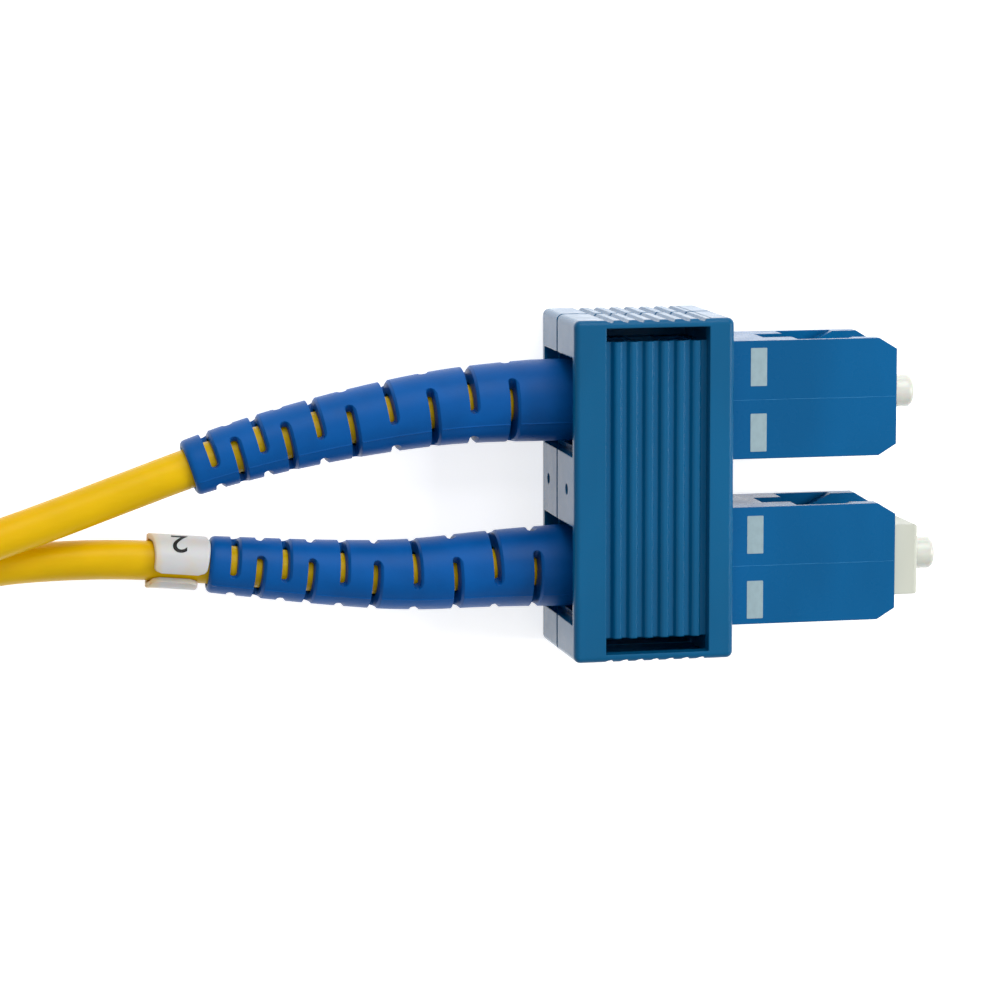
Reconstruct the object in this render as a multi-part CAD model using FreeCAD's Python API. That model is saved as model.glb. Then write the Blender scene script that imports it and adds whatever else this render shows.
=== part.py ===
import FreeCAD, Part
import math
import os

from FreeCAD import Placement, Rotation, Vector

# A duplex SC fibre-optic connector: two push-pull plugs in a two-piece clip, on a short
# two-core patch lead that ends in a second, plainer copy of the connector.
# Millimetres. +X is the mating direction, +Z is up, and the clip lies on its lower face.
# The origin is the centre of that face.

# ---- modelling allowances ----------------------------------------------------------
beyond = 1.0                  # how far a cutting tool runs past the face it cuts
bite = 0.1                    # how far fused pieces run into each other
hair = 0.01                   # what two places may differ by and still be one
arc_share = 0.45              # share of the shorter run that a route's arc takes at a corner

# ---- duplex clip -----------------------------------------------------------------
clip_length = 12.3            # along X
clip_end_wall = 2.0           # beyond the grips' pockets, along Y
clip_upper_height = 6.55      # joint face to top face
clip_floor = 0.95             # wall under the grips
clip_rear_wall = 1.0
clip_edge_round = 0.45
clip_corner_round = 0.5
clip_fit = 0.05               # between a grip and its pocket, each side
window_width = 7.45           # boot windows in the rear wall
window_roof = 0.75            # wall left above a boot window
window_hollow = 0.8           # how far the window's upper part runs in past the rear wall
panel_length = 7.8            # ribbed panel, along X
panel_offset = 0.18           # its centre ahead of the clip's centre
panel_sink = 0.6              # rib tops below the top face
groove_depth = 0.9            # groove floors below the rib tops
rib_count = 6
rib_width = 0.58
rib_pitch = 1.18
rib_shift = 0.1               # the ribs' middle ahead of the panel's
slot_width = 0.95             # latch slots at the panel's two ends
slot_outer_wall = 0.6
tongue_gap = 0.12             # latch tongue inside its slot, each side
tongue_height = 4.0
barb_reach = 0.25
barb_height = 1.0
barb_lead = 0.2               # bevel over and under a barb
barb_margin = 1.0             # plain tongue at each end of a barb
barb_fit = 0.05
ridge_count = 7               # finger ridges on the end walls
ridge_radius = 0.75
ridge_rise = 0.2
ridge_margin = 0.45           # plain edge above and below the ridges
pin_radius = 0.9              # locating pins between the halves
pin_height = 2.4
pin_spacing = 6.4
pin_fit = 0.05
pin_room = 0.3                # depth left over the pins
mark_radius = 0.42            # ejector marks on the rear wall
mark_depth = 0.15
mark_heights = (2.35, 8.5)
retain_depth = 0.4            # retaining groove in the grips' narrow faces
retain_length = 2.2
retain_rear = -0.6            # rear end of that groove
retain_margin = 1.2           # plain edge above and below it

# ---- grip (outer housing) --------------------------------------------------------
pitch = 12.7                  # distance between the two plug axes
grip_width = 9.0
grip_height = 7.4
grip_front = 19.7             # front face, ahead of the clip's centre
grip_plate = 0.45             # wall over and under the plug frame
grip_side_wall = 0.95
grip_chamfer_length = 1.4
grip_chamfer_width = 0.85
stop_wall = 0.12              # how much the rear opening narrows to stop the frame
latch_slot_width = 2.6        # narrow part of the side opening
latch_slot_rear = 9.8
latch_window_rear = 12.0      # wide part of the side opening
cam_front = 16.4              # where the cam ramps reach full height
cam_angle = 26.0
cam_thickness = 0.8
cam_foot = 3.0                # lowest part of a cam, from the plug axis
key_width = 3.2               # polarity key on the lower wide face
key_length = 4.0
key_height = 0.85
key_lead = 0.4                # bevel on its front edge
key_ahead = 0.85              # its rear end ahead of the clip

# ---- plug frame (inner housing) --------------------------------------------------
slide_travel = 1.8            # push-pull travel of the frame in the grip
slide_fit = 0.06
frame_nose_ahead = 0.2        # nose ahead of the grip when the frame is drawn back
frame_length = 18.9
nose_width = 5.4
nose_round = 0.3
nose_start = 11.4             # front end of the full-width body
wedge_front = 16.6            # hook shoulders on the two sides
wedge_length = 1.4
wedge_width = 4.6
nose_bore_radius = 2.15
chamber_radius = 2.5
socket_radius = 2.8
socket_depth = 6.1
lug_length = 2.0              # travel lugs on the two sides
lug_width = 3.0
lug_reach = 0.45
lug_rear = 4.0

# ---- ferrule, flange, spring, rear body, crimp ring, fibre --------------------------
ferrule_radius = 1.25
ferrule_length = 10.5
ferrule_ahead = 2.1           # tip ahead of the frame's nose
ferrule_round = 0.45
ferrule_seat_length = 3.9     # rear end that the flange holds
ferrule_seat_step = 0.2       # how much smaller that end is in radius
ferrule_rear_bevel = 0.15
ferrule_float = 1.0           # how far the ferrule springs back
flange_collar_radius = 2.35
flange_collar_length = 1.4
flange_sleeve_radius = 1.75
flange_sleeve_length = 1.5
flange_tail_radius = 1.45
flange_tail_length = 4.5
flange_bevel = 0.3
flange_tail_room = 0.2        # round the flange's tail, inside the rear body
flange_key_width = 0.8
flange_key_depth = 0.35
seat_gap = 0.05
spring_wire = 0.25            # wire radius
spring_radius = 1.8           # radius of the coil's centreline
spring_half_turns = 9
spring_sides = 8              # the wire's section is drawn with this many sides
rear_head_length = 4.9
rear_rim_radius = 3.1
rear_rim_length = 1.5
rear_rim_gap = 0.02           # between that rim and the frame
barrel_radius = 1.9
barrel_length = 5.8
barrel_bore = 0.95
knurl_rear = 0.6              # plain barrel behind the first knurl
knurl_count = 4
knurl_pitch = 0.9
knurl_depth = 0.15
crimp_wall = 0.45
crimp_fit = 0.03
crimp_gap = 0.6               # between the rear body's rim and the crimp ring
crimp_step = 0.3
crimp_tail_length = 1.9
crimp_end_gap = 0.2           # behind the crimp ring, inside the boot
jacket_gap = 0.1              # between the barrel and the cable's jacket
fibre_radius = 0.45
fibre_fit = 0.12
fibre_end_gap = 0.1

# ---- boot ------------------------------------------------------------------------
boot_front_gap = 0.3          # behind the rear body's rim
boot_front_radius = 3.1
boot_tail_radius = 2.13
boot_taper_behind = 1.7       # taper's start behind the barrel's end
boot_bore = 1.68
boot_fit = 0.04
slit_behind = 3.0             # first slit ring behind the barrel's end
slit_steps = (3.13, 3.13, 3.13, 3.13, 2.5, 2.5, 2.0, 2.0, 2.0)
slit_tail = 1.88              # plain tail behind the last slit ring
slit_half_angle = 68.0
slit_wide = 0.8               # slit width at the clip end
slit_narrow = 0.6             # slit width at the tail
slit_lip = 0.28               # bevel on the rim ahead of each slit
slit_tilt = 45.0
web_inset = 0.05              # webs lie this far inside the boot's two surfaces

# ---- cable and lead ----------------------------------------------------------------
cable_radius = 1.5
marker_wall = 0.45
marker_fit = 0.1
marker_length = 4.5
marker_gap = 0.15
marker_slit = 0.42
marker_slit_angle = -50.0
lay_pitch = 3.05              # cable to cable where they lie together
tie_wall = 0.8
tie_width = 7.0
tie_fit = 0.02
tie_round = 1.0
coil_turns_across = 2
coil_levels = 2
coil_inner_radius = 9.0       # centreline of the innermost turn
coil_run_length = 23.5        # straight part of each turn
coil_right = -64.6            # centre of the coil's right-hand bends
coil_y = 4.0
coil_edge = 1.0
far_x = -163.0                # centre of the far connector's clip
far_y = 4.0

axis_z = clip_floor + grip_height / 2 + clip_fit
clip_height = axis_z + clip_upper_height
clip_width = pitch + grip_width + 2 * (clip_fit + clip_end_wall)
half_pitch = pitch / 2
frame_front = grip_front + frame_nose_ahead
frame_rear = frame_front - frame_length
ferrule_tip = frame_front + ferrule_ahead
ferrule_rear = ferrule_tip - ferrule_length
sleeve_front = ferrule_rear + ferrule_seat_length
collar_front = sleeve_front - flange_sleeve_length
rear_head_front = frame_rear + rear_head_length
rim_rear = frame_rear - rear_rim_length
barrel_rear = rim_rear - barrel_length
jacket_front = barrel_rear - jacket_gap
grip_rear = -clip_length / 2 + clip_rear_wall + clip_fit
boot_taper_start = boot_taper_behind - barrel_rear      # these three are behind the clip's centre
slit_first = slit_behind - barrel_rear
boot_tail_end = slit_first + sum(slit_steps) + slit_tail

# Route points of the two cables, jacket end to coil, and coil to the far boots.
# Each is a hand-laid corner that the cable rounds with the largest arc that fits.
near_route_a = [
    (jacket_front, 6.35, axis_z), (-12.5, 6.30, axis_z), (-19.5, 5.40, axis_z),
    (-26.5, 4.05, axis_z), (-33.0, 2.35, axis_z), (-39.5, 0.05, axis_z), (-46.0, -2.20, 4.90),
    (-52.5, -4.20, 5.30), (-59.0, -6.90, 5.40), (-65.5, -7.95, 5.40),
]
near_route_b = [
    (jacket_front + slide_travel, -6.35, axis_z), (-10.8, -6.38, axis_z),
    (-17.5, -6.75, axis_z), (-24.0, -6.30, axis_z), (-30.5, -5.62, axis_z), (-37.0, -4.95, 4.30),
    (-43.0, -4.90, 3.30), (-49.5, -5.35, 2.45), (-56.0, -6.90, 2.30), (-62.5, -7.95, 2.30),
]
far_route_a = [
    (-95.9, -4.6, 11.4), (-100.6, -0.4, 11.0), (-105.2, 4.3, 9.5), (-111.4, 8.6, 7.3),
    (-118.6, 10.2, 5.3), (-126.5, 10.36, 4.72), (-137.0, 10.40, axis_z),
    (-147.5, 10.33, axis_z), (far_x - jacket_front, 10.35, axis_z),
]
far_route_b = [
    (-91.7, -7.0, 8.4), (-97.2, -5.2, 8.0), (-103.2, -3.9, 6.9), (-110.0, -2.9, 5.6),
    (-117.5, -2.4, 4.9), (-126.5, -2.36, 4.72), (-137.0, -2.32, axis_z),
    (-147.5, -2.38, axis_z), (far_x - jacket_front, -2.35, axis_z),
]


def block(x0, x1, y0, y1, z0, z1):
    """A box between two corners."""
    return Part.makeBox(x1 - x0, y1 - y0, z1 - z0, Vector(x0, y0, z0))


def rod(x0, x1, radius, y=0.0, z=0.0):
    """A cylinder along X."""
    return Part.makeCylinder(radius, x1 - x0, Vector(x0, y, z), Vector(1, 0, 0))


def turned(profile):
    """A body of revolution about X from (x, radius) points."""
    points = [Vector(x, r, 0) for x, r in profile]
    face = Part.Face(Part.makePolygon(points + points[:1]))
    return face.revolve(Vector(0, 0, 0), Vector(1, 0, 0), 360)


def fused(shapes):
    """One solid from several that meet or overlap."""
    return shapes[0].multiFuse(shapes[1:]).removeSplitter()


def edges_where(shape, test):
    """The straight or curved edges of a shape whose centre passes a test."""
    return [edge for edge in shape.Edges if test(edge)]


# ---- routes ------------------------------------------------------------------------
class Route:
    """A path of straight runs joined by tangent arcs, each as large as its two runs allow."""

    def __init__(self, points):
        corners = [Vector(*p) for p in points]
        runs = [corners[i + 1] - corners[i] for i in range(len(corners) - 1)]
        self.pieces = []
        self.radii = []
        start = corners[0]
        for i in range(1, len(corners) - 1):
            before, after = runs[i - 1], runs[i]
            half_turn = before.getAngle(after) / 2
            reach = arc_share * min(before.Length, after.Length)
            into = corners[i] - before.normalize() * reach
            out = corners[i] + Vector(after).normalize() * reach
            runs[i - 1] = corners[i] - corners[i - 1]
            self.pieces.append(Part.LineSegment(start, into).toShape())
            if half_turn > 1e-4:
                radius = reach / math.tan(half_turn)
                to_middle = ((into + out) * 0.5 - corners[i]).normalize()
                middle = corners[i] + to_middle * (radius / math.cos(half_turn) - radius)
                self.pieces.append(Part.Arc(into, middle, out).toShape())
                self.radii.append(round(radius, 1))
            else:
                self.pieces.append(Part.LineSegment(into, out).toShape())
            start = out
        self.pieces.append(Part.LineSegment(start, corners[-1]).toShape())
        self.wire = Part.Wire(self.pieces)
        self.length = self.wire.Length

    def at(self, distance):
        """The point and direction at a distance from the start, which may be negative."""
        if distance < 0:
            heading = self.pieces[0].tangentAt(self.pieces[0].FirstParameter)
            return self.pieces[0].valueAt(self.pieces[0].FirstParameter) + heading * distance, heading
        left = distance
        for piece in self.pieces:
            if left <= piece.Length or piece is self.pieces[-1]:
                parameter = piece.getParameterByLength(min(left, piece.Length))
                return piece.valueAt(parameter), piece.tangentAt(parameter)
            left -= piece.Length

    def ring(self, distance, radius):
        """A circle across the path."""
        point, direction = self.at(distance)
        return Part.Wire(Part.makeCircle(radius, point, direction))

    def tube(self, radius):
        """A round solid along the whole path."""
        shell = self.wire.makePipeShell([self.ring(0, radius)], True, False)
        shape = Part.Solid(shell) if shell.ShapeType == "Shell" else shell
        ideal = math.pi * radius ** 2 * self.length
        print("radii", self.radii, "length", round(self.length, 1),
              "volume/ideal", round(shape.Volume / ideal, 4))
        return shape


# ---- duplex clip -----------------------------------------------------------------
def clip_blank():
    """The outside of both halves together, with rounded edges and finger ridges."""
    body = block(-clip_length / 2, clip_length / 2, -clip_width / 2, clip_width / 2, 0, clip_height)
    upright = edges_where(body, lambda e: abs(e.tangentAt(e.FirstParameter).z) > 0.9)
    body = body.makeFillet(clip_corner_round, upright)
    rims = edges_where(body, lambda e: e.BoundBox.ZLength < hair)
    body = body.makeFillet(clip_edge_round, rims)
    ridges = []
    first = panel_offset - rib_pitch * (ridge_count - 1) / 2
    for side in (-1, 1):
        for i in range(ridge_count):
            centre = Vector(first + i * rib_pitch,
                            side * (clip_width / 2 + ridge_rise - ridge_radius), ridge_margin)
            ridges.append(Part.makeCylinder(ridge_radius, clip_height - 2 * ridge_margin, centre))
    return fused([body] + ridges)


def grip_pockets():
    """The space that the two grips and their boots take out of the clip."""
    cuts = []
    rear = -clip_length / 2
    half = grip_width / 2 + clip_fit
    low = axis_z - grip_height / 2 - clip_fit
    high = axis_z + grip_height / 2 + clip_fit
    rib = retain_length / 2 - clip_fit
    rib_x = retain_rear + retain_length / 2
    for y in (-half_pitch, half_pitch):
        pocket = block(rear + clip_rear_wall, clip_length / 2 + beyond, y - half, y + half, low, high)
        for side in (-1, 1):
            edge = y + side * half
            inner = edge - side * (retain_depth - clip_fit)
            pocket = pocket.cut(block(rib_x - rib, rib_x + rib, min(edge, inner),
                                      max(edge, inner), low + retain_margin + 2 * clip_fit,
                                      high - retain_margin - 2 * clip_fit))
        window = block(rear - beyond, rear + clip_rear_wall + window_hollow, y - window_width / 2,
                       y + window_width / 2, low, clip_height - window_roof)
        cuts += [pocket, window]
    return cuts


def latch_slot(side, gap=0.0, top=clip_height + beyond):
    """The slot at one end of the panel, or the tongue that stands in it."""
    outer = clip_width / 2 - slot_outer_wall - gap
    inner = clip_width / 2 - slot_outer_wall - slot_width + gap
    y0, y1 = sorted((side * inner, side * outer))
    half = panel_length / 2 - gap
    return block(panel_offset - half, panel_offset + half, y0, y1, axis_z, top)


def latch_barb(side, gap=0.0):
    """The wedge on a tongue that hooks into the slot's outer wall."""
    face = clip_width / 2 - slot_outer_wall - tongue_gap
    reach = barb_reach + gap
    low = axis_z + tongue_height - barb_height - gap
    high = axis_z + tongue_height - barb_lead + gap
    half = panel_length / 2 - barb_margin + gap
    profile = [Vector(0, side * face, low), Vector(0, side * (face + reach), low),
               Vector(0, side * (face + reach), low + barb_lead + gap), Vector(0, side * face, high)]
    wire = Part.makePolygon(profile + profile[:1])
    wedge = Part.Face(wire).extrude(Vector(2 * half, 0, 0))
    wedge.translate(Vector(panel_offset - half, 0, 0))
    return wedge


def ribbed_panel():
    """What the sunk panel takes out of the top face: a shallow bed and its grooves."""
    reach = clip_width / 2 - slot_outer_wall - slot_width + hair
    x0 = panel_offset - panel_length / 2
    rib_top = clip_height - panel_sink
    floor = rib_top - groove_depth
    bed = block(x0, x0 + panel_length, -reach, reach, floor, clip_height + beyond)
    first = panel_offset + rib_shift - (rib_pitch * (rib_count - 1) + rib_width) / 2
    ribs = [block(first + i * rib_pitch, first + i * rib_pitch + rib_width,
                  -reach, reach, floor, rib_top) for i in range(rib_count)]
    return bed.cut(Part.makeCompound(ribs))


def locating_pins(radius, height):
    """Two pins on the wall between the pockets."""
    return [Part.makeCylinder(radius, height, Vector(side * pin_spacing / 2, 0, axis_z))
            for side in (-1, 1)]


def ejector_marks():
    """Two shallow round marks on the rear wall."""
    rear = -clip_length / 2
    return [rod(rear - beyond, rear + mark_depth, mark_radius, 0, z) for z in mark_heights]


def clip_halves():
    """The lower half with its latch tongues and pins, and the upper half with its panel."""
    blank = clip_blank().cut(Part.makeCompound(grip_pockets())).cut(
        Part.makeCompound(ejector_marks()))
    far = 2 * clip_width
    lower = blank.common(block(-far, far, -far, far, -beyond, axis_z))
    upper = blank.common(block(-far, far, -far, far, axis_z, clip_height + beyond))
    top = axis_z + tongue_height
    tongues = [latch_slot(side, tongue_gap, top) for side in (-1, 1)]
    barbs = [latch_barb(side) for side in (-1, 1)]
    lower = fused([lower] + tongues + barbs + locating_pins(pin_radius, pin_height))
    openings = [latch_slot(side) for side in (-1, 1)]
    catches = [latch_barb(side, barb_fit) for side in (-1, 1)]
    holes = locating_pins(pin_radius + pin_fit, pin_height + pin_room)
    upper = upper.cut(Part.makeCompound([ribbed_panel()] + holes))
    upper = upper.cut(Part.makeCompound(openings)).cut(Part.makeCompound(catches))
    return lower, upper


# ---- pieces of one plug, about its own axis --------------------------------------
def frame_half_width():
    return grip_width / 2 - grip_side_wall - slide_fit


def frame_half_height():
    return grip_height / 2 - grip_plate - slide_fit


def grip_outline():
    """The grip's plan, with chamfered front corners."""
    half = grip_width / 2
    points = [(grip_rear, -half), (grip_front - grip_chamfer_length, -half),
              (grip_front, -half + grip_chamfer_width), (grip_front, half - grip_chamfer_width),
              (grip_front - grip_chamfer_length, half), (grip_rear, half)]
    wire = Part.makePolygon([Vector(x, y, -grip_height / 2) for x, y in points + points[:1]])
    return Part.Face(wire).extrude(Vector(0, 0, grip_height))


def cam_ramps():
    """The four cams that lift a coupler's hooks when the grip is drawn back."""
    half = grip_width / 2
    top = grip_height / 2 - grip_plate
    foot = cam_front - (half - cam_foot) / math.tan(math.radians(cam_angle))
    plan = [(foot, cam_foot), (cam_front, half), (grip_front, half), (grip_front, cam_foot)]
    ramps = []
    for side in (-1, 1):
        wire = Part.makePolygon([Vector(x, side * y, 0) for x, y in plan + plan[:1]])
        for z in (-top, top - cam_thickness):
            ramp = Part.Face(wire).extrude(Vector(0, 0, cam_thickness))
            ramp.translate(Vector(0, 0, z))
            ramps.append(ramp)
    return ramps


def polarity_key():
    """The tab on the lower face that lets the plug into a coupler one way up only."""
    rear = clip_length / 2 + key_ahead
    front = rear + key_length
    top = bite - grip_height / 2
    low = -grip_height / 2 - key_height
    profile = [(rear, top), (front, top), (front, low + key_lead), (front - key_lead, low),
               (rear, low)]
    wire = Part.makePolygon([Vector(x, -key_width / 2, z) for x, z in profile + profile[:1]])
    return Part.Face(wire).extrude(Vector(0, key_width, 0))


def grip():
    """The push-pull outer housing."""
    outline = grip_outline()
    half_w = grip_width / 2 - grip_side_wall
    half_h = grip_height / 2 - grip_plate
    stop = frame_rear - seat_gap
    cuts = [
        block(stop, grip_front + beyond, -half_w, half_w, -half_h, half_h),
        block(grip_rear - beyond, stop, -half_w + stop_wall, half_w - stop_wall, -half_h, half_h),
        block(latch_slot_rear, latch_window_rear, -grip_width, grip_width,
              -latch_slot_width / 2, latch_slot_width / 2),
        block(latch_window_rear, grip_front + beyond, -grip_width, grip_width, -half_h, half_h),
    ]
    lug_room = lug_width / 2 + slide_fit
    for side in (-1, 1):
        y0, y1 = sorted((side * half_w, side * (half_w + lug_reach)))
        cuts.append(block(lug_rear - slide_fit, lug_rear + lug_length + slide_travel + slide_fit,
                          y0, y1, -lug_room, lug_room))
        y0, y1 = sorted((side * (grip_width / 2 - retain_depth), side * grip_width))
        cuts.append(block(retain_rear, retain_rear + retain_length, y0, y1,
                          -grip_height / 2 + retain_margin, grip_height / 2 - retain_margin))
    body = outline.cut(Part.makeCompound(cuts))
    ramps = [ramp.common(outline) for ramp in cam_ramps()]
    return fused([body, polarity_key()] + ramps)


def plug_frame():
    """The sliding inner housing that a coupler's hooks hold."""
    half_w = frame_half_width()
    half_h = frame_half_height()
    plan = [(frame_rear, half_w), (nose_start, half_w), (nose_start, nose_width / 2),
            (frame_front, nose_width / 2)]
    plan += [(x, -y) for x, y in reversed(plan)]
    wire = Part.makePolygon([Vector(x, y, -half_h) for x, y in plan + plan[:1]])
    body = Part.Face(wire).extrude(Vector(0, 0, 2 * half_h))
    front_edges = edges_where(body, lambda e: e.BoundBox.XMin > frame_front - hair)
    body = body.makeFillet(nose_round, front_edges)
    additions = []
    for side in (-1, 1):
        wedge = [(wedge_front, nose_width / 2 - bite), (wedge_front - wedge_length, half_w),
                 (wedge_front - wedge_length, nose_width / 2 - bite)]
        wire = Part.makePolygon([Vector(x, side * y, -wedge_width / 2)
                                 for x, y in wedge + wedge[:1]])
        additions.append(Part.Face(wire).extrude(Vector(0, 0, wedge_width)))
        y0, y1 = sorted((side * (half_w - bite), side * (half_w + lug_reach - slide_fit)))
        additions.append(block(lug_rear, lug_rear + lug_length, y0, y1,
                               -lug_width / 2, lug_width / 2))
    body = fused([body] + additions)
    bores = [
        rod(frame_rear - beyond, frame_front + beyond, nose_bore_radius),
        rod(frame_rear - beyond, collar_front + seat_gap, chamber_radius),
        rod(frame_rear - beyond, frame_rear + socket_depth, socket_radius),
    ]
    return body.cut(fused(bores))


def ferrule():
    """The zirconia ferrule: a rounded tip, and a seat in the flange."""
    seat_radius = ferrule_radius - ferrule_seat_step
    body = turned([
        (ferrule_rear, 0), (ferrule_rear, seat_radius - ferrule_rear_bevel),
        (ferrule_rear + ferrule_rear_bevel, seat_radius), (sleeve_front, seat_radius),
        (sleeve_front, ferrule_radius), (ferrule_tip, ferrule_radius), (ferrule_tip, 0),
    ])
    tip = edges_where(body, lambda e: e.BoundBox.XMin > ferrule_tip - hair)
    return body.makeFillet(ferrule_round, tip)


def flange():
    """The metal holder that the ferrule is pressed into."""
    collar_rear = collar_front - flange_collar_length
    tail_rear = collar_rear - flange_tail_length
    seat_radius = ferrule_radius - ferrule_seat_step
    bore = fibre_radius + fibre_fit
    body = turned([
        (tail_rear, bore), (tail_rear, flange_tail_radius), (collar_rear, flange_tail_radius),
        (collar_rear, flange_collar_radius), (collar_front - flange_bevel, flange_collar_radius),
        (collar_front, flange_collar_radius - flange_bevel), (collar_front, flange_sleeve_radius),
        (sleeve_front, flange_sleeve_radius), (sleeve_front, seat_radius),
        (ferrule_rear, seat_radius), (ferrule_rear, bore),
    ])
    slots = []
    for turn in (0, 90, 180, 270):
        slot = block(collar_rear - beyond, collar_front + beyond,
                     flange_collar_radius - flange_key_depth, flange_collar_radius + beyond,
                     -flange_key_width / 2, flange_key_width / 2)
        slot.rotate(Vector(0, 0, 0), Vector(1, 0, 0), turn)
        slots.append(slot)
    return body.cut(Part.makeCompound(slots))


def spring():
    """The compression spring between the flange's collar and the rear body.

    Each half turn is a half circle in a tilted plane, so that they join smoothly.
    """
    end = spring_wire + seat_gap
    start_x = rear_head_front + end
    step = (collar_front - flange_collar_length - end - start_x) / spring_half_turns
    halves = []
    for i in range(spring_half_turns):
        side = 1 if i % 2 == 0 else -1
        start = Vector(start_x + i * step, 0, side * spring_radius)
        stop = Vector(start_x + (i + 1) * step, 0, -side * spring_radius)
        corners = []
        for k in range(spring_sides + 1):
            turn = 2 * math.pi * k / spring_sides
            corners.append(start + Vector(math.cos(turn), 0, math.sin(turn)) * spring_wire)
        face = Part.Face(Part.makePolygon(corners))
        axis = (stop - start).cross(Vector(0, side, 0))
        halves.append(face.revolve((start + stop) * 0.5, axis.normalize(), -180))
    return fused(halves)


def rear_body():
    """The stop body that snaps into the frame and carries the crimp barrel."""
    head = socket_radius - seat_gap
    rim_front = frame_rear - rear_rim_gap
    tail_room = flange_tail_radius + flange_tail_room
    body = turned([
        (barrel_rear, barrel_bore), (barrel_rear, barrel_radius), (rim_rear, barrel_radius),
        (rim_rear, rear_rim_radius), (rim_front, rear_rim_radius),
        (rim_front, head), (rear_head_front, head),
        (rear_head_front, tail_room), (frame_rear, tail_room),
        (frame_rear, barrel_bore),
    ])
    grooves = []
    for i in range(knurl_count):
        x = barrel_rear + knurl_rear + i * knurl_pitch
        ring = rod(x, x + knurl_pitch / 2, barrel_radius + beyond).cut(
            rod(x - beyond, x + beyond + knurl_pitch / 2, barrel_radius - knurl_depth))
        grooves.append(ring)
    return body.cut(Part.makeCompound(grooves))


def crimp_ring():
    """The stepped ring crimped over the barrel and the cable's jacket."""
    over_barrel = barrel_radius + crimp_fit
    over_jacket = cable_radius + crimp_fit
    front = rim_rear - crimp_gap
    tail = barrel_rear - crimp_step - crimp_tail_length
    return turned([
        (tail, over_jacket), (tail, over_jacket + crimp_wall),
        (barrel_rear - crimp_step, over_jacket + crimp_wall),
        (barrel_rear, over_barrel + crimp_wall), (front, over_barrel + crimp_wall),
        (front, over_barrel), (barrel_rear - crimp_fit, over_barrel),
        (barrel_rear - crimp_step, over_jacket),
    ])


def fibre():
    """The buffered fibre from the ferrule back into the barrel."""
    return rod(barrel_rear + ferrule_float + fibre_end_gap, ferrule_rear, fibre_radius)


def boot_radius(distance):
    """The boot's outer radius at a distance behind the clip's centre."""
    share = (distance - boot_taper_start) / (boot_tail_end - boot_taper_start)
    return boot_front_radius + (boot_tail_radius - boot_front_radius) * max(0.0, share)


def slit_places():
    """How far behind the clip's centre each ring of slits is."""
    places = [slit_first]
    for step in slit_steps:
        places.append(places[-1] + step)
    return places


def boot_point(route, jacket, place):
    """The point of a cable's middle at a distance behind the clip's centre."""
    return route.at(place - jacket)[0]


def along(shape, rear, front):
    """A shape drawn from X = 0 forwards, put on the line from a rear point to a front one."""
    turn = Rotation(Vector(1, 0, 0), front - rear)
    shape.Placement = Placement(rear, turn).multiply(shape.Placement)
    return shape


def boot_piece(rear, front, rear_radius, front_radius, lip):
    """One tapered length of the boot, with its rear rim bevelled."""
    length = (front - rear).Length
    piece = turned([(0, boot_bore), (0, rear_radius - lip), (lip, rear_radius),
                    (length, front_radius), (length, boot_bore)])
    return along(piece, rear, front)


def boot_webs(rear, front, outer, tilt):
    """The two webs that bridge a ring of slits."""
    half = math.radians(90 - slit_half_angle)
    length = (front - rear).Length
    webs = []
    for side in (90, 270):
        centre = math.radians(tilt + side)
        rims = []
        for radius in (boot_bore + web_inset, outer - web_inset):
            rims.append([Vector(0, radius * math.sin(centre + a), radius * math.cos(centre + a))
                         for a in (-half, 0, half)])
        inner, outer_rim = rims
        edges = [Part.Arc(*inner).toShape(), Part.makeLine(inner[2], outer_rim[2]),
                 Part.Arc(*outer_rim).toShape(), Part.makeLine(inner[0], outer_rim[0])]
        face = Part.Face(Part.Wire(Part.__sortEdges__(edges)))
        webs.append(along(face.extrude(Vector(length, 0, 0)), rear, front))
    return webs


def boot(route, slide=0.0):
    """The bend-relief boot along a cable's route, whose jacket starts behind the barrel."""
    jacket = slide - route.at(0)[0].x
    front = boot_front_gap - rim_rear
    places = slit_places()
    last = len(places) - 1
    widths = [slit_wide + (slit_narrow - slit_wide) * i / last for i in range(last + 1)]

    def point(place):
        return boot_point(route, jacket, place)

    straight = boot_piece(point(boot_taper_start), point(front), boot_front_radius,
                          boot_front_radius, 0)
    socket = along(crimp_socket(), point(jacket), point(front))
    pieces = []
    fronts = [boot_taper_start] + [place + w / 2 for place, w in zip(places, widths)]
    rears = [place - w / 2 for place, w in zip(places, widths)] + [boot_tail_end]
    for start, stop in zip(fronts, rears):
        pieces.append(boot_piece(point(stop), point(start), boot_radius(stop),
                                 boot_radius(start), slit_lip))
    body = fused([straight, pieces[0]]).cut(socket)
    webs = []
    for i, (place, width) in enumerate(zip(places, widths)):
        reach = width / 2 + web_inset
        tilt = -slit_tilt if i % 2 == 0 else slit_tilt
        webs += boot_webs(point(place + reach), point(place - reach - slit_lip),
                          boot_radius(place), tilt)
    return fused([body] + pieces[1:] + webs)


def plain_boot():
    """The far connector's boot: straight, and without its slits."""
    tail = Vector(-boot_tail_end, 0, 0)
    taper = Vector(-boot_taper_start, 0, 0)
    front = Vector(rim_rear - boot_front_gap, 0, 0)
    body = fused([boot_piece(tail, taper, boot_tail_radius, boot_front_radius, slit_lip),
                  boot_piece(taper, front, boot_front_radius, boot_front_radius, 0)])
    return body.cut(along(crimp_socket(), Vector(jacket_front, 0, 0), front))


def crimp_socket():
    """The stepped hole in a boot that fits over the crimp ring, from the jacket's end at 0."""
    wide = barrel_radius + crimp_fit + crimp_wall + boot_fit
    narrow = cable_radius + crimp_fit + crimp_wall + boot_fit
    tail = -crimp_step - crimp_tail_length - crimp_end_gap
    return turned([(tail, 0), (tail, narrow), (-crimp_step - jacket_gap, narrow), (0, wide),
                   (barrel_length + rear_rim_length, wide), (barrel_length + rear_rim_length, 0)])


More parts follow.
